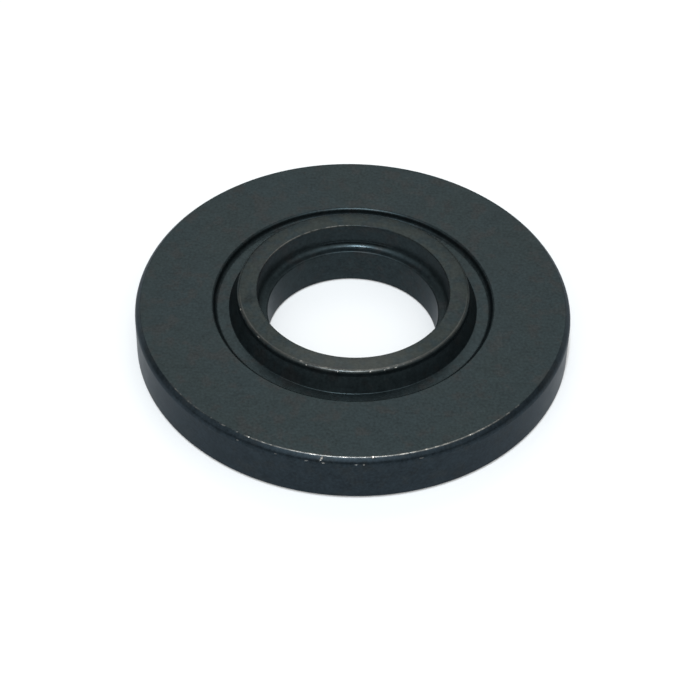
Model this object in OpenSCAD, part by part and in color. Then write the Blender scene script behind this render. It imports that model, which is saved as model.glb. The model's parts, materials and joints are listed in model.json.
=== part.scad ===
// Clamp washer, one piece of turned and blackened steel.
// The flange bears on the side of a disc, and the raised pilot centres the disc's hole.
// A relief groove at the foot of the pilot keeps the edge of that hole clear of the seat.
// The bore is stepped: a counterbore opens at the pilot's end and stops at a ledge.
// The back face lies on Z = 0, and the axis of the turning is Z.

/* [Flange] */
// Outside diameter of the flange
flange_d = 42; // [36:0.5:60]
// Thickness of the flange, from the back face to the clamping face
flange_t = 5; // [4:0.1:10]
// Chamfer round the clamping side of the rim
rim_chamfer = 0.5; // [0.1:0.1:1.5]
// Chamfer round the back of the rim
back_chamfer = 0.3; // [0.1:0.1:1.5]

/* [Pilot] */
// Diameter of the land at the pilot's end, which centres the disc's hole
pilot_d = 22.4; // [20:0.1:26]
// Height of the pilot above the clamping face
pilot_h = 1.4; // [0.9:0.1:4]
// Height of the straight land, down from the pilot's end
pilot_land = 0.6; // [0.4:0.1:0.9]
// Lean of the flank below the land, out to the foot on the groove's floor
pilot_taper = 0.8; // [0.1:0.05:1.5]
// Radius on the outer edge of the pilot's end
pilot_edge_r = 0.2; // [0.05:0.05:0.35]

/* [Relief groove] */
// Width of the groove's floor, from the foot of the pilot to the outer wall
relief_floor_w = 1.35; // [0.8:0.05:2.5]
// Depth of the groove below the clamping face
relief_depth = 0.8; // [0.6:0.1:2]
// Nose radius of the turning tool, left in both bottom corners of the groove
relief_nose_r = 0.15; // [0.05:0.05:0.25]
// Radius on the upper edge of the groove, where it meets the clamping face
relief_edge_r = 0.3; // [0.05:0.05:0.35]

/* [Bore] */
// Diameter of the spindle bore
bore_d = 16.5; // [12:0.1:18.5]
// Break on the edge of the bore at the back face
bore_break = 0.2; // [0.05:0.05:0.8]
// Width of the ledge between the spindle bore and the counterbore
ledge_w = 1; // [0.4:0.05:2]
// Break on the edge of the ledge
ledge_break = 0.1; // [0.05:0.05:0.3]
// Depth of the counterbore below the pilot's end
counterbore_depth = 2.6; // [1:0.1:5]
// Nose radius of the boring tool, left in the corner of the counterbore
counterbore_nose_r = 0.6; // [0.1:0.05:0.8]
// Break on the edge of the counterbore at the pilot's end
mouth_break = 0.05; // [0.05:0.05:0.3]

/* [Hidden] */
$fn = 180;
// Colour of the blackened steel
blackened_steel = [0.21, 0.25, 0.26];
// Length that a cut runs on past the face it breaks through
overrun = 1;
// Radii of the turned diameters
flange_r = flange_d / 2;
pilot_r = pilot_d / 2;
foot_r = pilot_r + pilot_taper;
relief_r = foot_r + relief_floor_w;
bore_r = bore_d / 2;
counterbore_r = bore_r + ledge_w;
// Heights of the pilot's end, the lower end of its land, the groove's floor and the ledge
pilot_z = flange_t + pilot_h;
land_z = pilot_z - pilot_land;
relief_z = flange_t - relief_depth;
ledge_z = pilot_z - counterbore_depth;
// Corners of the section that carry a radius
pilot_edge = [pilot_r, pilot_z];
relief_root = [foot_r, relief_z];
relief_nose = [relief_r, relief_z];
relief_edge = [relief_r, flange_t];
counterbore_nose = [counterbore_r, ledge_z];
// Radius in the counterbore's corner, held to the ledge and the wall that it blends
counterbore_corner_r = min(counterbore_nose_r, ledge_w - ledge_break, counterbore_depth - mouth_break);

// Direction of a vector, with a length of one.
function unit(v) = v / norm(v);

// Area between a corner of the section and the arc that touches both of its edges.
// It comes off an outside corner, and it stays on in an inside corner.
// The two other points each lie along one of the edges, and past the corner the area runs on.
module corner_area(corner, along_a, along_b, radius) {
    a = unit(along_a - corner);
    b = unit(along_b - corner);
    inward = unit(a + b);
    half_angle = acos(a * b) / 2;
    tangent_l = radius / tan(half_angle);
    centre = corner + inward * radius / sin(half_angle);
    difference() {
        polygon([corner - inward * overrun, corner + a * tangent_l, centre, corner + b * tangent_l]);
        translate(centre)
            circle(radius);
    }
}

// Half section of the blank: the flange, and a plain boss that the pilot is turned from.
module blank_section() {
    polygon([
        [0, 0],
        [flange_r - back_chamfer, 0],
        [flange_r, back_chamfer],
        [flange_r, flange_t - rim_chamfer],
        [flange_r - rim_chamfer, flange_t],
        [foot_r, flange_t],
        [foot_r, pilot_z],
        [0, pilot_z],
    ]);
}

// Half section of what is turned away beside the pilot's land and flank, down into the groove.
module relief_section() {
    difference() {
        polygon([
            [pilot_r, pilot_z + overrun],
            [pilot_r, land_z],
            relief_root,
            relief_nose,
            [relief_r, pilot_z + overrun],
        ]);
        corner_area(relief_root, relief_nose, [pilot_r, land_z], relief_nose_r);
        corner_area(relief_nose, relief_root, relief_edge, relief_nose_r);
    }
}

// Half section of the stepped bore, with its edge breaks and the fillet above the ledge.
module bore_section() {
    difference() {
        polygon([
            [0, -overrun],
            [bore_r + bore_break + overrun, -overrun],
            [bore_r, bore_break],
            [bore_r, ledge_z - ledge_break],
            [bore_r + ledge_break, ledge_z],
            counterbore_nose,
            [counterbore_r, pilot_z - mouth_break],
            [counterbore_r + mouth_break + overrun, pilot_z + overrun],
            [0, pilot_z + overrun],
        ]);
        corner_area(counterbore_nose, [bore_r, ledge_z], [counterbore_r, pilot_z], counterbore_corner_r);
    }
}

// The whole washer, turned about its axis.
module clamp_washer() {
    color(blackened_steel)
        rotate_extrude()
            difference() {
                blank_section();
                relief_section();
                corner_area(relief_edge, [flange_r, flange_t], relief_nose, relief_edge_r);
                corner_area(pilot_edge, [0, pilot_z], [pilot_r, land_z], pilot_edge_r);
                bore_section();
            }
}

clamp_washer();
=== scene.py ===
"""Looks of a turned and blackened steel clamp washer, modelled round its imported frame.

Laid out as an add-on and run as a script. Sizes that the frame holds come from the frame, and the rest
are properties that the panel in the 3D view's sidebar lists. Lengths are in metres unless a name says mm.
"""

import json
import math

import bmesh
import bpy
from bpy.props import FloatProperty, FloatVectorProperty, IntProperty, PointerProperty
from mathutils import Matrix, Vector


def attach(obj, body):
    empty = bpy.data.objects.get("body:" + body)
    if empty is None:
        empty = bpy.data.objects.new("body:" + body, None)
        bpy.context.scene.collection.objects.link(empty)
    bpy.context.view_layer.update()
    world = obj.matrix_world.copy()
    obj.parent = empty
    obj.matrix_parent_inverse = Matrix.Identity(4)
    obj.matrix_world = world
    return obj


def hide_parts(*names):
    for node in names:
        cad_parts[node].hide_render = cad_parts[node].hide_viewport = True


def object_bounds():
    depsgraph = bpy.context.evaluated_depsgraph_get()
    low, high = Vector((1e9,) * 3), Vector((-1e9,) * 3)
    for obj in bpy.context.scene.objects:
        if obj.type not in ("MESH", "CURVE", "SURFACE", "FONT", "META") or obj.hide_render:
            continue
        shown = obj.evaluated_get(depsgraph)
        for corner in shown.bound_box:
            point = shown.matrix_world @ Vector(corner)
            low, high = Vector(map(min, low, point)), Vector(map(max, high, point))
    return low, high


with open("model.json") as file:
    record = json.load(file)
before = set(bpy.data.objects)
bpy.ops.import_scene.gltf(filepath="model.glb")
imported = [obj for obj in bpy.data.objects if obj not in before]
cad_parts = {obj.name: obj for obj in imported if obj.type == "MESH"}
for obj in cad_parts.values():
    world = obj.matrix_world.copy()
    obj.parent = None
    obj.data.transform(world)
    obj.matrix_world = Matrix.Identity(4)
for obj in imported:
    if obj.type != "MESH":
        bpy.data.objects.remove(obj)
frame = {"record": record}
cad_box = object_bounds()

bl_info = {
    "name": "Clamp washer",
    "version": (1, 0, 0),
    "blender": (4, 5, 0),
    "location": "3D View > Sidebar > Clamp washer",
    "description": "Turns a blackened steel clamp washer and sets it on a pale studio floor",
    "category": "Object",
}

MM = 0.001
NODE = "clamp_washer"
BODY = "root"
IMAGE_SIDE_PX = 700
SENSOR_MM = 36.0
FLOOR_SIDE = 2.0
FLOOR_GAP = 0.02 * MM

# How closely an edge has to lie on a ring to count as part of it.
RING_TOLERANCE = 0.002 * MM

# Slope of the rim's chamfer, least angle of an edge that is rounded and largest angle that is shaded smooth.
CHAMFER_DEGREES = 45.0
SHARP_DEGREES = 30.0
SMOOTH_DEGREES = 35.0
# Segments of the rounding of the chamfer's lower edge, and of every edge that is still sharp after that.
RIM_SOFT_SEGMENTS = 6
EDGE_SEGMENTS = 3

# Knocks on the rim's upper edge, its chamfer, its lower edge and the pilot's edge: turn in degrees, then
# length along the turn, width and depth in mm, and slant of the length in degrees.
RIM_TOP_KNOCKS = (
    (240.4, 0.20, 0.14, 0.03, 0.0),
    (243.9, 0.24, 0.20, 0.05, 20.0),
    (250.1, 0.22, 0.14, 0.03, -15.0),
    (276.1, 0.42, 0.34, 0.10, 10.0),
    (285.5, 0.26, 0.16, 0.03, 0.0),
    (302.1, 0.22, 0.14, 0.03, 30.0),
)
CHAMFER_KNOCKS = ((263.2, 0.62, 0.26, 0.08, 62.0),)
RIM_LOW_KNOCKS = (
    (241.2, 0.34, 0.14, 0.035, 0.0),
    (251.7, 0.42, 0.12, 0.03, 0.0),
    (259.6, 0.50, 0.14, 0.035, 8.0),
    (263.8, 0.42, 0.18, 0.05, -6.0),
    (271.9, 0.52, 0.14, 0.035, 4.0),
    (273.8, 0.24, 0.18, 0.05, 0.0),
    (288.3, 0.70, 0.14, 0.035, -5.0),
)
PILOT_KNOCKS = (
    (196.4, 0.36, 0.20, 0.05, 0.0),
    (217.9, 0.48, 0.16, 0.04, 0.0),
    (248.1, 0.22, 0.18, 0.05, 0.0),
    (263.7, 0.26, 0.14, 0.04, 10.0),
    (279.1, 0.28, 0.18, 0.05, 0.0),
    (286.0, 0.22, 0.14, 0.04, -10.0),
    (291.6, 0.34, 0.16, 0.04, 0.0),
)
# How far the surface of a knock wanders, as a share of its length.
KNOCK_LUMPS = 0.02

# Noises of the oxide: scale per mm, detail and roughness.
CLOUD_NOISE = (0.16, 3.0, 0.5)
PATCH_NOISE = (0.55, 3.0, 0.6)
MOTTLE_NOISE = (0.9, 3.0, 0.5)
BREAK_NOISE = (1.6, 3.0, 0.65)
GRAIN_NOISE = (3.8, 2.0, 0.5)
# Middle level of every noise, and the levels at which cool clouds, warm patches and brown rubbing start and
# are full.
NOISE_MIDDLE = 0.5
COOL_CLOUDS = (0.35, 0.65)
WARM_PATCHES = (0.5, 0.66)
BROWN_RUBBING = (0.38, 0.6)
# Share of the warm patches that the rim lacks, and distance in mm to either side of the chamfer's upper edge
# over which the rim's colour takes over. Both keep the rim bluer, as a painted reflection of bluish light.
RIM_COOLNESS = 0.5
RIM_BLEND_MM = 0.1
# Depths in mm below the pilot's end at which that end's finish starts and is full.
PILOT_END_MM = (0.3, 0.05)

# Middle of the dark stain on the pilot's end, and distances from it at which the stain ends and is full, all
# in mm.
STAIN_MM = (-9.87, -1.81)
STAIN_REACH_MM = (0.9, 0.2)

# Turn of the side that faces the camera, and of the most worn and most brightly painted part and of a faintly
# rubbed part of the rim's upper edge, in degrees.
FRONT_TURN = 270.0
WORN_AND_HIGHLIGHT_TURN = 279.0
RUB_TURN = 223.5

# Wear along the rim's upper edge, kept to the camera's side, so that its bare steel is partly wear and partly
# a
# painted highlight: turn of its middle in degrees, cosines of the angles from there at which it ends and is
# full, share of bare steel all over it, share added where it is worn through, and noise levels at which that
# starts and is full.
RIM_WEAR_AND_HIGHLIGHT = (
    (WORN_AND_HIGHLIGHT_TURN, 0.75, 0.97, 0.2, 0.55, 0.42, 0.75),
    (RUB_TURN, 0.985, 0.999, 0.03, 0.12, 0.4, 0.7),
    (FRONT_TURN, 0.55, 0.7, 0.0, 0.4, 0.5, 0.8),
)
# Rubbing along the pilot's outer edge on the camera's side, partly wear and partly a painted highlight of a
# lighter rounding: turn of its middle in degrees, cosines of the angles from there at which it ends and is
# full, and share of bare steel.
PILOT_RUBBING_AND_HIGHLIGHT = (
    (FRONT_TURN, -0.1, 0.3, 0.07),
    (WORN_AND_HIGHLIGHT_TURN, 0.85, 1.0, 0.06),
)
# Least strength of that rubbing, to which the mottling adds, and where it runs, as shares of the edge's
# rounding in from the pilot's side and down from its end.
RUBBING_LEAST = 0.4
RUBBING_IN = 0.8
RUBBING_DOWN = 0.05
# Flecks along that edge, partly wear and partly painted glints: how much facing the most worn part raises the
# noise, noise levels at which a fleck starts and is full, and share of bare steel.
PILOT_FLECKS_AND_GLINTS = (0.3, 0.8, 1.1, 0.5)
# Flecks along the pilot's inner edge: how much each mm to the right lowers the noise, noise levels at which a
# fleck starts and is full, distances in mm behind the middle at which flecks start and are full, and share
# of bare steel.
INNER_FLECKS = (0.05, 0.5, 0.9, 2.0, 6.0, 0.25)
# Rubbing on the pilot's end: cosines of the angles from the front at which it ends and is full, and share of
# bare steel.
END_RUBBING = (0.7, 1.0, 0.03)
# Distances in mm from the rim's, the pilot's and the counterbore's edge at which wear, with the painted
# highlight on the rim's and the pilot's edge, ends and is full.
RIM_LINE_MM = (0.085, 0.03)
PILOT_LINE_MM = (0.16, 0.05)
INNER_LINE_MM = (0.12, 0.05)

# Depths in mm below the sound surface at which a knock starts to show bare steel and shows it fully, on sharp
# edges and on rounded ones, and shares of bare steel in the knocks of the rim's lower edge and of the pilot.
SHARP_KNOCK_MM = (0.018, 0.03)
ROUND_KNOCK_MM = (0.014, 0.026)
LOW_KNOCK_STEEL = 0.22
PILOT_KNOCK_STEEL = 0.45
# Height in mm over which one kind of knock gives way to the next, distances in mm in from the rim at which its
# knocks start and are full, and share of the pilot's rounding over which its knocks start.
KNOCK_BLEND_MM = 0.02
RIM_KNOCKS_IN_MM = (1.2, 1.0)
PILOT_KNOCK_BLEND = 0.1

# Counterbore's corner, in mm: how far in from the pilot's side and how far down from its end the corner starts
# and is full, how far below the ledge it ends, and how far back its smooth part starts and is full.
CORNER_IN_MM = (1.4, 1.8)
CORNER_DOWN_MM = (1.4, 2.0)
CORNER_BELOW_MM = 0.15
GLINT_MM = (8.2, 8.8)

# Soft areas of the surroundings: turn and height of the middle and radius in degrees, and strength.
SOFT_LIGHTS = (
    (90.0, 48.0, 26.0, 2.0),
    (250.0, 52.0, 34.0, 1.75),
    (315.0, 56.0, 44.0, 1.2),
    (135.0, 8.0, 26.0, 1.5),
    (45.0, 8.0, 34.0, 0.9),
    (195.0, 32.0, 26.0, 0.85),
)
# How far behind the washer a direction points, from -1 to 1, where the front light starts to give way to the
# back light and where it has.
LIGHT_CHANGE = (-0.5, 0.5)

mounts = {mount["name"]: mount for mount in frame["record"]["mounts"]}


def mount_radius(name):
    """Radius of a round mount of the frame."""
    return mounts[name]["dims"]["r_mm"] * MM


def length(name, description, default):
    """A length that a user may change."""
    return FloatProperty(
        name=name,
        description=description,
        default=default,
        min=0.0,
        precision=5,
        subtype="DISTANCE",
        unit="LENGTH",
    )


def share(name, description, default):
    """A number from 0 to 1 that a user may change."""
    return FloatProperty(
        name=name,
        description=description,
        default=default,
        min=0.0,
        max=1.0,
        subtype="FACTOR",
    )


def angle(name, description, degrees):
    """An angle that a user may change."""
    return FloatProperty(
        name=name,
        description=description,
        default=math.radians(degrees),
        subtype="ANGLE",
        unit="ROTATION",
    )


def colour(name, description, default):
    """A linear colour that a user may change."""
    return FloatVectorProperty(
        name=name,
        description=description,
        default=default,
        size=3,
        min=0.0,
        max=1.0,
        subtype="COLOR",
    )


class WasherSizes(bpy.types.PropertyGroup):
    """Section of the washer."""

    flange_radius: length("Flange radius", "Outside radius of the flange", cad_box[1].x)
    flange_thickness: length(
        "Flange thickness",
        "Height of the clamping face above the back face",
        mounts["clamping_face"]["pos_m"][2],
    )
    rim_chamfer: length("Rim chamfer", "Chamfer round the clamping side of the rim", 0.5 * MM)
    rim_soft: length(
        "Rim softening",
        "How far the rounding of the chamfer's lower edge reaches along the rim",
        0.32 * MM,
    )
    back_chamfer: length("Back chamfer", "Chamfer round the back of the rim", 0.3 * MM)
    pilot_radius: length("Pilot radius", "Radius of the raised pilot", mount_radius("pilot"))
    overall_height: length("Overall height", "Height of the pilot's end above the back face", cad_box[1].z)
    pilot_break: length("Pilot break", "Rounding of the pilot's outer edge", 0.28 * MM)
    counterbore_break: length("Counterbore break", "Break on the pilot's inner edge", 0.05 * MM)
    pilot_land: length("Pilot land", "Height of the pilot's straight part, down from its end", 0.6 * MM)
    land_round: length(
        "Land rounding",
        "Rounding where the pilot's straight part turns into its taper",
        0.1 * MM,
    )
    pilot_taper: length(
        "Pilot taper",
        "Lean of the pilot's flank, from its straight part to its foot",
        0.75 * MM,
    )
    relief_width: length(
        "Relief width",
        "Width of the groove's floor, from the pilot's foot to its outer wall",
        1.45 * MM,
    )
    relief_depth: length("Relief depth", "Depth of the groove below the clamping face", 0.72 * MM)
    relief_lean: length(
        "Relief lean",
        "Lean of the groove's outer wall, half of it to each side of its middle",
        0.02 * MM,
    )
    relief_root: length("Relief root", "Rounding at the pilot's foot", 0.05 * MM)
    relief_nose: length("Relief nose", "Rounding where the groove's floor turns up", 0.4 * MM)
    relief_edge: length("Relief edge", "Rounding of the groove's upper edge", 0.28 * MM)
    bore_radius: length("Bore radius", "Radius of the spindle bore", mount_radius("spindle_bore"))
    bore_break: length("Bore break", "Break on the bore's edge at the back face", 0.2 * MM)
    counterbore_radius: length(
        "Counterbore radius",
        "Radius of the counterbore",
        mount_radius("counterbore"),
    )
    counterbore_depth: length("Counterbore depth", "Depth of the ledge below the pilot's end", 2.6 * MM)
    counterbore_nose: length("Counterbore nose radius", "Radius in the counterbore's corner", 0.6 * MM)
    ledge_break: length("Ledge break", "Break on the ledge's edge", 0.1 * MM)
    edge_round: length("Edge rounding", "Rounding left on every turned edge", 0.04 * MM)
    facets: IntProperty(name="Facets", description="Facets round the washer", default=360, min=64, max=720)


class WasherFinish(bpy.types.PropertyGroup):
    """Colours and sheen of the blackened steel."""

    oxide: colour("Oxide", "Black oxide on the turned faces", (0.0218, 0.0305, 0.0328))
    oxide_cool: colour("Cool oxide", "Bluer clouds in the oxide", (0.0211, 0.0303, 0.0337))
    # Painted reflection: the rim's oxide is made bluer to stand for the bluish light that the rim reflects.
    rim_oxide_and_reflection: colour("Rim oxide", "Bluer oxide on the rim and its chamfer", (0.0196, 0.0282, 0.0352))
    oxide_warm: colour("Warm oxide", "Redder patches of the oxide", (0.0254, 0.0301, 0.0319))
    oxide_brown: colour("Brown oxide", "Rubbed oxide on the pilot's end", (0.0250, 0.0305, 0.0300))
    bare_steel: colour("Bare steel", "Steel where the oxide is worn away", (0.56, 0.53, 0.49))
    oxide_metal: share("Oxide metallic", "Share of the oxide that shines as metal", 0.8)
    edge_tint: colour("Edge tint", "Tint of what the oxide reflects at a glancing angle", (0.60, 0.62, 0.64))
    oxide_shine: share("Oxide shine", "Specular level of the part of the oxide that isn't metal", 0.375)
    grain: share("Grain", "How much the fine grain lightens and darkens the oxide", 1.0)
    mottle: share("Mottle", "How much the broader mottling lightens and darkens the oxide", 0.7)
    stain: share("Stain", "How much the stain on the pilot's end darkens the oxide", 0.3)
    roughness: share("Roughness", "Roughness of the oxide", 0.35)
    roughness_mottle: share("Roughness mottle", "How much the mottling changes the oxide's roughness", 0.12)
    corner_roughness: share("Corner roughness", "Roughness of the oxide in the counterbore's corner", 0.5)
    bored_roughness: share("Bored roughness", "Roughness of the oxide in the back of that corner", 0.25)
    bare_roughness: share("Bare roughness", "Roughness of the bare steel", 0.36)
    bump_strength: share("Bump", "How strongly the grain tilts the surface", 0.3)
    bump_depth: length("Bump depth", "Depth of the grain", 0.01 * MM)


class StudioSettings(bpy.types.PropertyGroup):
    """Floor, lights and camera."""

    floor_colour: colour("Floor", "Colour of the floor", (0.66, 0.66, 0.66))
    floor_lift: share("Floor lift", "Light that the floor adds where it is seen directly", 0.22)
    floor_lift_passed: share(
        "Passed floor lift",
        "Light that the floor adds where it is seen in gloss or through glass",
        0.08,
    )
    ambient: share("Ambient", "Brightness of the surroundings", 0.12)
    front_light: colour("Front light", "Colour of the light from the camera's side", (0.96, 1.0, 1.0))
    back_light: colour("Back light", "Colour of the light from behind", (1.0, 1.0, 0.96))
    lamp_place: FloatVectorProperty(
        name="Lamp place",
        description="Middle of the tall lamp that shines into the counterbore",
        default=(-0.026, -0.185, 0.464),
        size=3,
        subtype="TRANSLATION",
        unit="LENGTH",
    )
    lamp_width: length("Lamp width", "Width of the tall lamp", 20 * MM)
    lamp_height: length("Lamp height", "Height of the tall lamp", 200 * MM)
    lamp_power: FloatProperty(
        name="Lamp power",
        description="Power of the tall lamp",
        default=1.6,
        min=0.0,
        unit="POWER",
    )
    lamp_light: colour("Lamp light", "Colour of the tall lamp", (0.86, 0.93, 1.0))
    elevation: angle("Camera elevation", "Angle that the camera looks down at", 44.31)
    roll: angle("Camera roll", "Turn of the camera about its own axis", 1.655)
    distance: length(
        "Camera distance",
        "Distance from the camera to the middle of the back face",
        201.98 * MM,
    )
    focal_px: FloatProperty(
        name="Focal length",
        description="Focal length in pixels of the square frame",
        default=2058.5,
        min=100.0,
    )
    middle_px: FloatVectorProperty(
        name="Middle",
        description="Where the middle of the back face falls, in pixels from the frame's upper left corner",
        default=(352.1, 336.9),
        size=2,
    )


class Value:
    """A number in a shader tree. Arithmetic on it adds Math nodes."""

    def __init__(self, tree, socket):
        self.tree = tree
        self.socket = socket

    def __add__(self, other):
        return self.tree.math("ADD", self, other)

    __radd__ = __add__

    def __sub__(self, other):
        return self.tree.math("SUBTRACT", self, other)

    def __rsub__(self, other):
        return self.tree.math("SUBTRACT", other, self)

    def __mul__(self, other):
        return self.tree.math("MULTIPLY", self, other)

    __rmul__ = __mul__

    def __truediv__(self, other):
        return self.tree.math("DIVIDE", self, other)

    def __rtruediv__(self, other):
        return self.tree.math("DIVIDE", other, self)

    def __pow__(self, other):
        return self.tree.math("POWER", self, other)

    def __rpow__(self, other):
        return self.tree.math("POWER", other, self)


class ShaderTree:
    """Adds nodes to one material, or to the world."""

    def __init__(self, owner):
        owner.use_nodes = True
        self.nodes = owner.node_tree.nodes
        self.links = owner.node_tree.links
        self.nodes.clear()

    def node(self, kind, settings=None, sockets=None, output=0):
        """Adds a node, sets it up, feeds its sockets and returns one of its outputs."""
        made = self.nodes.new(kind)
        for name, setting in (settings or {}).items():
            setattr(made, name, setting)
        for key, value in (sockets or {}).items():
            if isinstance(value, Value):
                self.links.new(value.socket, made.inputs[key])
            else:
                made.inputs[key].default_value = value
        return Value(self, made.outputs[output]) if made.outputs else None

    def math(self, operation, *values):
        return self.node("ShaderNodeMath", {"operation": operation}, dict(enumerate(values)))

    def smooth(self, value, low, high):
        """0 below low and 1 above high, or the other way round where low is the larger."""
        sockets = {"Value": value, "From Min": low, "From Max": high}
        return self.node("ShaderNodeMapRange", {"interpolation_type": "SMOOTHSTEP"}, sockets)

    def noise(self, place, scale, detail, roughness):
        sockets = {"Vector": place, "Scale": scale, "Detail": detail, "Roughness": roughness}
        return self.node("ShaderNodeTexNoise", {"noise_dimensions": "3D"}, sockets)

    def axis(self, vector, index):
        """One of the three numbers of a vector."""
        return self.node("ShaderNodeSeparateXYZ", None, {0: vector}, output=index)

    def scaled(self, vector, factor):
        """A vector or a colour times a number."""
        return self.node("ShaderNodeVectorMath", {"operation": "SCALE"}, {0: vector, "Scale": factor})

    def mix(self, share_of_b, a, b):
        """Mix of two colours, each a link or a linear colour."""
        pad = [value if isinstance(value, Value) else (*value, 1.0) for value in (a, b)]
        sockets = {0: share_of_b, 6: pad[0], 7: pad[1]}
        return self.node("ShaderNodeMix", {"data_type": "RGBA"}, sockets, output=2)


def deselect_all():
    bpy.ops.object.select_all(action="DESELECT")


def section_corners(sizes):
    """Sharp corners of the half section, from the bore outward.

    Each is a radius, a height, its break or fillet, and the segments of that.
    """
    relief_floor = sizes.flange_thickness - sizes.relief_depth
    foot_radius = sizes.pilot_radius + sizes.pilot_taper
    relief_radius = foot_radius + sizes.relief_width
    ledge = sizes.overall_height - sizes.counterbore_depth
    return [
        (sizes.bore_radius, 0.0, sizes.bore_break, 1),
        (sizes.flange_radius, 0.0, sizes.back_chamfer, 1),
        (sizes.flange_radius, sizes.flange_thickness, sizes.rim_chamfer, 1),
        (relief_radius + 0.5 * sizes.relief_lean, sizes.flange_thickness, sizes.relief_edge, 8),
        (relief_radius - 0.5 * sizes.relief_lean, relief_floor, sizes.relief_nose, 8),
        (foot_radius, relief_floor, sizes.relief_root, 6),
        (sizes.pilot_radius, sizes.overall_height - sizes.pilot_land, sizes.land_round, 4),
        (sizes.pilot_radius, sizes.overall_height, sizes.pilot_break, 4),
        (sizes.counterbore_radius, sizes.overall_height, sizes.counterbore_break, 1),
        (sizes.counterbore_radius, ledge, sizes.counterbore_nose, 12),
        (sizes.bore_radius, ledge, sizes.ledge_break, 1),
    ]


def select_edges(mesh, wanted):
    """Selects the edges that a test wants, and nothing else. Raises an error where there are none."""
    edit = bmesh.from_edit_mesh(mesh)
    bpy.ops.mesh.select_all(action="DESELECT")
    found = [edge for edge in edit.edges if wanted(edge)]
    if not found:
        raise RuntimeError("The washer has no edge at a place that has to be worked on")
    for edge in found:
        edge.select = True
    edit.select_flush_mode()
    bmesh.update_edit_mesh(mesh)


def select_ring(mesh, radius, height):
    """Selects the ring of edges at a radius and a height."""

    def on_ring(vert):
        off_radius = math.hypot(vert.co.x, vert.co.y) - radius
        return max(abs(off_radius), abs(vert.co.z - height)) < RING_TOLERANCE

    select_edges(mesh, lambda edge: all(on_ring(vert) for vert in edge.verts))


def turn_section(sizes):
    """Walks a ring of edges round the section, closes it and breaks its corners."""
    corners = section_corners(sizes)
    first_radius, first_height, _, _ = corners[0]
    deselect_all()
    bpy.ops.mesh.primitive_circle_add(
        vertices=sizes.facets,
        radius=first_radius,
        location=(0, 0, first_height),
    )
    washer = bpy.context.object
    bpy.ops.object.mode_set(mode="EDIT")
    bpy.ops.mesh.select_mode(type="EDGE")
    bpy.ops.mesh.select_all(action="SELECT")
    for (radius, height, _, _), (next_radius, next_height, _, _) in zip(corners, corners[1:]):
        bpy.ops.mesh.extrude_edges_move(TRANSFORM_OT_translate={"value": (0, 0, next_height - height)})
        grow = next_radius / radius
        bpy.ops.transform.resize(value=(grow, grow, 1), center_override=(0, 0, next_height))
    select_edges(washer.data, lambda edge: edge.is_boundary)
    bpy.ops.mesh.bridge_edge_loops()
    bpy.ops.mesh.select_all(action="SELECT")
    bpy.ops.mesh.normals_make_consistent(inside=False)
    for radius, height, size, segments in corners:
        select_ring(washer.data, radius, height)
        bpy.ops.mesh.bevel(offset=size, segments=segments, affect="EDGES")
    select_ring(washer.data, sizes.flange_radius, sizes.flange_thickness - sizes.rim_chamfer)
    bpy.ops.mesh.bevel(offset=sizes.rim_soft, segments=RIM_SOFT_SEGMENTS, affect="EDGES")
    bpy.ops.mesh.select_all(action="DESELECT")
    bpy.ops.mesh.edges_select_sharp(sharpness=math.radians(SHARP_DEGREES))
    bpy.ops.mesh.bevel(offset=sizes.edge_round, segments=EDGE_SEGMENTS, affect="EDGES")
    bpy.ops.object.mode_set(mode="OBJECT")
    return washer


def add_knock(radius, height, slope, turn, long_mm, wide_mm, deep_mm, slant):
    """Adds the lumpy tool of one knock, its middle just outside a surface that faces up by an angle."""
    around = Matrix.Rotation(math.radians(turn), 3, "Z")
    outward = around @ Vector((math.cos(math.radians(slope)), 0, math.sin(math.radians(slope))))
    along = Matrix.Rotation(math.radians(slant), 3, outward) @ (around @ Vector((0, 1, 0)))
    axes = Matrix((along, outward.cross(along), outward)).transposed()
    # The middle lies half the reach outside, so the outline in the surface is cos(30 degrees) of the full one.
    reach = 2 * deep_mm * MM
    spread = 0.5 * MM / math.cos(math.radians(30))
    deselect_all()
    bpy.ops.mesh.primitive_ico_sphere_add(
        subdivisions=3,
        radius=1.0,
        location=around @ Vector((radius, 0, height)) + 0.5 * reach * outward,
        rotation=axes.to_euler(),
        scale=(long_mm * spread, wide_mm * spread, reach),
    )
    knock = bpy.context.object
    bpy.ops.object.mode_set(mode="EDIT")
    bpy.ops.mesh.select_all(action="SELECT")
    bpy.ops.transform.vertex_random(offset=KNOCK_LUMPS * long_mm * MM, seed=round(turn * 10))
    bpy.ops.object.mode_set(mode="OBJECT")
    return knock


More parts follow.
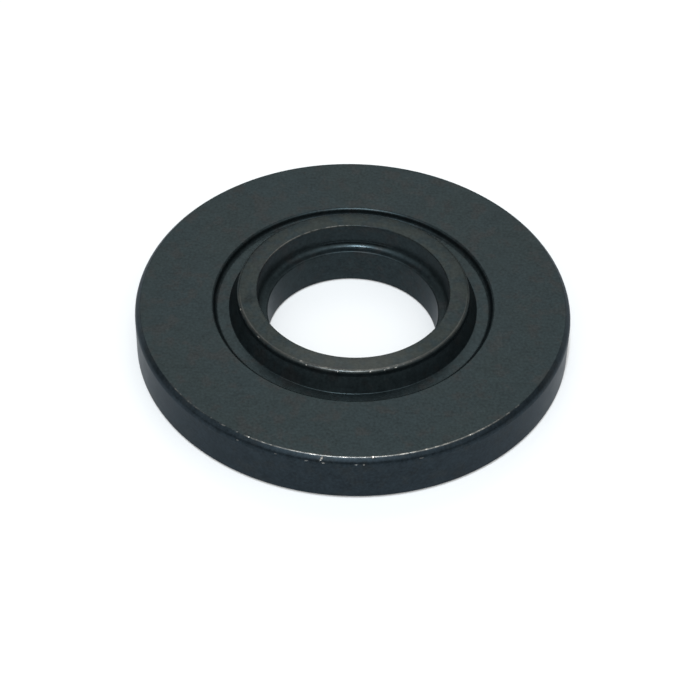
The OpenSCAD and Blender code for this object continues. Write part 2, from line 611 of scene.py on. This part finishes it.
def knock_edges(washer, sizes):
    """Dents the washer's edges with all the knocks at once."""
    rim, face, chamfer = sizes.flange_radius, sizes.flange_thickness, sizes.rim_chamfer
    # The middle of a rounding lies 0.293 of its radius in from the sharp corner, along either face.
    inset = (1 - math.sqrt(0.5)) * sizes.pilot_break
    # The softened lower edge lies this far in from the chamfer's sharp corner.
    sag = sizes.rim_soft * math.tan(math.radians(0.25 * CHAMFER_DEGREES))
    low_slope = 0.5 * CHAMFER_DEGREES
    low = math.radians(low_slope)
    edges = (
        (rim - chamfer, face, 90.0 - low_slope, RIM_TOP_KNOCKS),
        (rim - 0.5 * chamfer, face - 0.5 * chamfer, CHAMFER_DEGREES, CHAMFER_KNOCKS),
        (rim - sag * math.cos(low), face - chamfer - sag * math.sin(low), low_slope, RIM_LOW_KNOCKS),
        (sizes.pilot_radius - inset, sizes.overall_height - inset, 45.0, PILOT_KNOCKS),
    )
    knocks = [
        add_knock(radius, height, slope, *knock)
        for radius, height, slope, listed in edges
        for knock in listed
    ]
    deselect_all()
    for knock in knocks:
        knock.select_set(True)
    bpy.context.view_layer.objects.active = knocks[0]
    bpy.ops.object.join()
    tool = bpy.context.object
    cut = washer.modifiers.new("knocks", "BOOLEAN")
    cut.operation = "DIFFERENCE"
    cut.solver = "EXACT"
    cut.object = tool
    deselect_all()
    washer.select_set(True)
    bpy.context.view_layer.objects.active = washer
    points_before = len(washer.data.vertices)
    bpy.ops.object.modifier_apply(modifier=cut.name)
    bpy.data.objects.remove(tool)
    if len(washer.data.vertices) == points_before:
        raise RuntimeError("The knocks didn't dent the washer")


class WasherSurface:
    """Where a shaded point lies on the washer, with the section's sizes in mm and the shared noises."""

    def __init__(self, tree, sizes):
        self.tree = tree
        self.place = tree.scaled(tree.node("ShaderNodeTexCoord", output="Object"), 1 / MM)
        self.x, self.y, self.z = (tree.axis(self.place, index) for index in range(3))
        self.radius = (self.x * self.x + self.y * self.y) ** 0.5
        self.rim = sizes.flange_radius / MM
        self.face = sizes.flange_thickness / MM
        self.chamfer = sizes.rim_chamfer / MM
        self.soft = sizes.rim_soft / MM
        self.pilot = sizes.pilot_radius / MM
        self.top = sizes.overall_height / MM
        self.rounding = sizes.pilot_break / MM
        self.counterbore = sizes.counterbore_radius / MM
        self.ledge = self.top - sizes.counterbore_depth / MM
        self.pilot_end = tree.smooth(self.z, *(self.top - depth for depth in PILOT_END_MM))
        self.mottle = tree.noise(self.place, *MOTTLE_NOISE)
        self.breaks = tree.noise(self.place, *BREAK_NOISE)
        self.grain = tree.noise(self.place, *GRAIN_NOISE)

    def facing(self, turn):
        """1 where the washer faces a turn in degrees, and -1 on its far side."""
        return (self.x * math.cos(math.radians(turn)) + self.y * math.sin(math.radians(turn))) / self.radius

    def from_edge(self, edge_radius, edge_height):
        """Distance in mm from an edge that runs round the washer."""
        return ((self.radius - edge_radius) ** 2.0 + (self.z - edge_height) ** 2.0) ** 0.5


def oxide_colour(at, finish):
    """Black oxide with a fine grain and warm patches, a painted bluish reflection on the rim, and brown on the
    pilot's end.
    """
    tree = at.tree
    cool = tree.smooth(tree.noise(at.place, *CLOUD_NOISE), *COOL_CLOUDS)
    rim_start = at.rim - at.chamfer
    on_rim = tree.smooth(at.radius, rim_start - RIM_BLEND_MM, rim_start + RIM_BLEND_MM)
    warm = tree.smooth(tree.noise(at.place, *PATCH_NOISE), *WARM_PATCHES) * (1.0 - RIM_COOLNESS * on_rim)
    brown = tree.smooth(at.mottle, *BROWN_RUBBING) * at.pilot_end
    oxide = tree.mix(cool, finish.oxide, finish.oxide_cool)
    # Painted reflection: a bluer colour on the rim for the bluish light that it reflects.
    oxide = tree.mix(on_rim, oxide, finish.rim_oxide_and_reflection)
    oxide = tree.mix(warm, oxide, finish.oxide_warm)
    oxide = tree.mix(brown, oxide, finish.oxide_brown)
    mottle, grain = at.mottle - NOISE_MIDDLE, at.grain - NOISE_MIDDLE
    from_stain = ((at.x - STAIN_MM[0]) ** 2.0 + (at.y - STAIN_MM[1]) ** 2.0) ** 0.5
    stain = tree.smooth(from_stain + mottle, *STAIN_REACH_MM) * at.pilot_end
    return tree.scaled(oxide, 1.0 + grain * finish.grain + mottle * finish.mottle - stain * finish.stain)


def rim_wear_and_highlight(at):
    """Share of bare steel along the rim's upper edge, partly wear and partly a painted highlight on the
    camera's side.
    """
    tree = at.tree
    wear = 0.0
    # Painted highlight: this bare steel lies only on the camera's side, and is partly wear and partly
    # highlight.
    for turn, end, full, even, added, broken_from, broken_full in RIM_WEAR_AND_HIGHLIGHT:
        broken = tree.smooth(at.breaks, broken_from, broken_full)
        wear = tree.smooth(at.facing(turn), end, full) * (even + added * broken) + wear
    return wear * tree.smooth(at.from_edge(at.rim - at.chamfer, at.face), *RIM_LINE_MM)


def pilot_wear_and_highlight(at):
    """Share of bare steel along the pilot's outer edge, mostly in flecks towards the worn side: partly wear,
    partly painted highlight and glints.
    """
    tree = at.tree
    rubbing = 0.0
    # Painted highlight: the lighter rounding on the camera's side is bare steel, partly wear and partly
    # highlight.
    for turn, end, full, steel in PILOT_RUBBING_AND_HIGHLIGHT:
        rubbing = tree.smooth(at.facing(turn), end, full) * steel + rubbing
    lift, start, full, steel = PILOT_FLECKS_AND_GLINTS
    flecks = tree.smooth(at.facing(WORN_AND_HIGHLIGHT_TURN) * lift + at.breaks, start, full) * steel
    edge = at.from_edge(at.pilot - RUBBING_IN * at.rounding, at.top - RUBBING_DOWN * at.rounding)
    return (rubbing * (RUBBING_LEAST + at.mottle) + flecks) * tree.smooth(edge, *PILOT_LINE_MM)


def pilot_end_wear(at):
    """Share of bare steel on the front of the pilot's end, and along the back of its inner edge."""
    tree = at.tree
    end, full, steel = END_RUBBING
    rubbed = at.pilot_end * tree.smooth(at.facing(FRONT_TURN), end, full) * steel
    inner_line = tree.smooth(at.from_edge(at.counterbore, at.top), *INNER_LINE_MM)
    fall, start, full, back_start, back_full, steel = INNER_FLECKS
    flecks = tree.smooth(at.breaks - at.x * fall, start, full) * tree.smooth(at.y, back_start, back_full)
    return inner_line * flecks * steel + rubbed


def rim_knocks(at):
    """Share of bare steel in the knocks of the rim, from how deep a point lies below the sound surface."""
    tree = at.tree
    soft_radius = at.soft / math.tan(math.radians(0.5 * CHAMFER_DEGREES))
    soft_low = at.face - at.chamfer - at.soft
    soft_high = at.face - at.chamfer + at.soft * math.sin(math.radians(CHAMFER_DEGREES))
    below_chamfer = at.rim - at.chamfer + at.face - at.radius - at.z
    below_chamfer = below_chamfer * math.cos(math.radians(CHAMFER_DEGREES))
    below_soft = soft_radius - at.from_edge(at.rim - soft_radius, soft_low)
    upper = tree.smooth(tree.math("MINIMUM", at.face - at.z, below_chamfer), *SHARP_KNOCK_MM)
    upper = upper * tree.smooth(at.z, soft_high - KNOCK_BLEND_MM, soft_high)
    lower = tree.smooth(below_soft, *ROUND_KNOCK_MM) * tree.smooth(at.z, soft_low, soft_low + KNOCK_BLEND_MM)
    lower = lower * tree.smooth(at.z, soft_high, soft_high - KNOCK_BLEND_MM)
    outside = tree.smooth(at.radius, *(at.rim - inward for inward in RIM_KNOCKS_IN_MM))
    return tree.math("MAXIMUM", upper, lower * LOW_KNOCK_STEEL) * outside


def pilot_knocks(at):
    """Share of bare steel in the knocks of the pilot's rounded edge."""
    tree = at.tree
    arc_radius, arc_height = at.pilot - at.rounding, at.top - at.rounding
    blend = PILOT_KNOCK_BLEND * at.rounding
    on_arc = tree.smooth(at.radius, arc_radius, arc_radius + blend)
    on_arc = on_arc * tree.smooth(at.z, arc_height, arc_height + blend)
    below = at.rounding - at.from_edge(arc_radius, arc_height)
    return tree.smooth(below, *ROUND_KNOCK_MM) * on_arc * PILOT_KNOCK_STEEL


def bored_corner(at):
    """The counterbore's corner, and the smooth part at its back."""
    tree = at.tree
    corner = tree.smooth(at.radius, *(at.pilot - inward for inward in CORNER_IN_MM))
    corner = corner * tree.smooth(at.z, *(at.top - down for down in CORNER_DOWN_MM))
    corner = corner * tree.smooth(at.z, at.ledge - CORNER_BELOW_MM, at.ledge)
    return corner, corner * tree.smooth(at.y, *GLINT_MM)


def blackened_steel(sizes, finish):
    """Satin black oxide, smoothest at the counterbore's back, bare where worn or knocked and in painted edge
    highlights, bluer on the rim by a painted reflection.
    """
    material = bpy.data.materials.new("blackened_steel")
    tree = ShaderTree(material)
    at = WasherSurface(tree, sizes)
    # The bare share holds real wear and knocks, and painted highlights along the rim's and the pilot's edges
    # on the camera's side.
    bare = pilot_end_wear(at)
    for worn in (rim_wear_and_highlight(at), pilot_wear_and_highlight(at), rim_knocks(at), pilot_knocks(at)):
        bare = tree.math("MAXIMUM", bare, worn)
    corner, smooth_part = bored_corner(at)
    roughness = finish.roughness + (at.mottle - NOISE_MIDDLE) * finish.roughness_mottle
    roughness = roughness + (corner - smooth_part) * (finish.corner_roughness - finish.roughness)
    roughness = roughness + smooth_part * (finish.bored_roughness - finish.roughness)
    bump = tree.node(
        "ShaderNodeBump",
        None,
        {
            "Strength": finish.bump_strength,
            "Distance": finish.bump_depth,
            "Height": at.grain * (1.0 - smooth_part),
        },
    )
    surface = tree.node(
        "ShaderNodeBsdfPrincipled",
        None,
        {
            "Base Color": tree.mix(bare, oxide_colour(at, finish), finish.bare_steel),
            "Metallic": finish.oxide_metal + bare * (1.0 - finish.oxide_metal),
            "Specular IOR Level": finish.oxide_shine,
            "Specular Tint": (*finish.edge_tint, 1.0),
            "Roughness": roughness + bare * (finish.bare_roughness - roughness),
            "Normal": bump,
        },
    )
    tree.node("ShaderNodeOutputMaterial", None, {"Surface": surface})
    return material


class CLAMPWASHER_OT_turn(bpy.types.Operator):
    """Turn the washer, break its edges and blacken it"""

    bl_idname = "clamp_washer.turn"
    bl_label = "Turn the washer"

    def execute(self, context):
        sizes = context.scene.washer_sizes
        washer = turn_section(sizes)
        washer.name = washer.data.name = "washer"
        knock_edges(washer, sizes)
        bpy.ops.object.shade_smooth_by_angle(angle=math.radians(SMOOTH_DEGREES))
        weigh = washer.modifiers.new("flat_faces", "WEIGHTED_NORMAL")
        weigh.keep_sharp = True
        bpy.ops.object.modifier_apply(modifier=weigh.name)
        washer.data.materials.append(blackened_steel(sizes, context.scene.washer_finish))
        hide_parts(NODE)
        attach(washer, BODY)
        return {"FINISHED"}


def floor_material(studio):
    """Matt pale floor, lifted to white where it is seen directly, in gloss or through glass."""
    material = bpy.data.materials.new("studio_floor")
    tree = ShaderTree(material)
    seen = tree.node("ShaderNodeLightPath", output="Is Camera Ray")
    in_gloss = tree.node("ShaderNodeLightPath", output="Is Glossy Ray")
    through_glass = tree.node("ShaderNodeLightPath", output="Is Transmission Ray")
    strength = seen * studio.floor_lift + (in_gloss + through_glass) * studio.floor_lift_passed
    lift = tree.node("ShaderNodeEmission", None, {"Color": (1, 1, 1, 1), "Strength": strength})
    matt = tree.node("ShaderNodeBsdfDiffuse", None, {"Color": (*studio.floor_colour, 1.0)})
    surface = tree.node("ShaderNodeAddShader", None, {0: matt, 1: lift})
    tree.node("ShaderNodeOutputMaterial", None, {"Surface": surface})
    return material


def light_surroundings(studio):
    """Even light from all round with soft bright areas behind, before and beside the washer."""
    world = bpy.data.worlds.new("studio_surroundings")
    bpy.context.scene.world = world
    tree = ShaderTree(world)
    direction = tree.node("ShaderNodeTexCoord", output="Generated")
    level = studio.ambient
    for turn, height, reach, strength in SOFT_LIGHTS:
        middle = Vector((math.cos(math.radians(height)), 0, math.sin(math.radians(height))))
        middle.rotate(Matrix.Rotation(math.radians(turn), 3, "Z"))
        sockets = {0: direction, 1: middle}
        near = tree.node("ShaderNodeVectorMath", {"operation": "DOT_PRODUCT"}, sockets, output=1)
        level = tree.smooth(near, math.cos(math.radians(reach)), 1.0) * strength + level
    behind = tree.smooth(tree.axis(direction, 1), *LIGHT_CHANGE)
    tint = tree.mix(behind, studio.front_light, studio.back_light)
    seen = tree.node("ShaderNodeLightPath", output="Is Camera Ray")
    background = tree.node(
        "ShaderNodeBackground",
        None,
        {"Color": tree.mix(seen, tint, (1, 1, 1)), "Strength": level * (1 - seen) + seen},
    )
    tree.node("ShaderNodeOutputWorld", None, {"Surface": background})


def add_front_lamp(studio):
    """Tall lamp that faces the washer and puts the glint in the counterbore's corner."""
    data = bpy.data.lights.new("front_lamp", "AREA")
    data.shape = "RECTANGLE"
    data.size = studio.lamp_width
    data.size_y = studio.lamp_height
    data.energy = studio.lamp_power
    data.color = studio.lamp_light
    lamp = bpy.data.objects.new("front_lamp", data)
    bpy.context.scene.collection.objects.link(lamp)
    lamp.location = studio.lamp_place
    lamp.rotation_euler = (-lamp.location).to_track_quat("-Z", "Y").to_euler()


def set_camera(studio):
    """Camera at the photograph's place, turned so that the washer's middle falls where it should."""
    data = bpy.data.cameras.new("camera")
    data.sensor_width = SENSOR_MM
    data.lens = studio.focal_px / IMAGE_SIDE_PX * SENSOR_MM
    data.clip_start = 10 * MM
    camera = bpy.data.objects.new("camera", data)
    bpy.context.scene.collection.objects.link(camera)
    bpy.context.scene.camera = camera
    place = studio.distance * Vector((0, -math.cos(studio.elevation), math.sin(studio.elevation)))
    level = place.to_track_quat("Z", "Y").to_matrix()
    turned = level @ Matrix.Rotation(studio.roll, 3, "Z")
    right, up, _ = (Vector(column) for column in turned.col)
    half = IMAGE_SIDE_PX / 2
    off_right = (studio.middle_px[0] - half) / studio.focal_px * studio.distance
    off_up = (half - studio.middle_px[1]) / studio.focal_px * studio.distance
    aim = -off_right * right - off_up * up
    back = (place - aim).normalized()
    right = up.cross(back).normalized()
    up = back.cross(right)
    camera.matrix_world = Matrix((right, up, back)).transposed().to_4x4()
    camera.location = place


class CLAMPWASHER_OT_stage(bpy.types.Operator):
    """Set the pale floor, the soft lights and the camera"""

    bl_idname = "clamp_washer.stage"
    bl_label = "Set the stage"

    def execute(self, context):
        studio = context.scene.washer_studio
        deselect_all()
        bpy.ops.mesh.primitive_plane_add(size=FLOOR_SIDE, location=(0, 0, -FLOOR_GAP))
        floor = context.object
        floor.name = floor.data.name = "studio_floor"
        floor.data.materials.append(floor_material(studio))
        light_surroundings(studio)
        add_front_lamp(studio)
        set_camera(studio)
        context.scene.view_settings.view_transform = "Standard"
        return {"FINISHED"}


class CLAMPWASHER_PT_panel(bpy.types.Panel):
    """Lists what makes the washer and its stage"""

    bl_idname = "CLAMPWASHER_PT_panel"
    bl_label = "Clamp washer"
    bl_space_type = "VIEW_3D"
    bl_region_type = "UI"
    bl_category = "Clamp washer"

    def draw(self, context):
        for operator in OPERATORS:
            self.layout.operator(operator.bl_idname)
        for group in GROUPS:
            settings = getattr(context.scene, group)
            box = self.layout.box()
            for name in settings.__annotations__:
                box.prop(settings, name)


OPERATORS = (CLAMPWASHER_OT_turn, CLAMPWASHER_OT_stage)
GROUPS = {"washer_sizes": WasherSizes, "washer_finish": WasherFinish, "washer_studio": StudioSettings}
CLASSES = (*GROUPS.values(), *OPERATORS, CLAMPWASHER_PT_panel)


def register():
    for cls in CLASSES:
        bpy.utils.register_class(cls)
    for name, group in GROUPS.items():
        setattr(bpy.types.Scene, name, PointerProperty(type=group))


def unregister():
    for name in GROUPS:
        delattr(bpy.types.Scene, name)
    for cls in reversed(CLASSES):
        bpy.utils.unregister_class(cls)


def main():
    register()
    bpy.ops.clamp_washer.turn()
    bpy.ops.clamp_washer.stage()


if __name__ == "__main__":
    main()
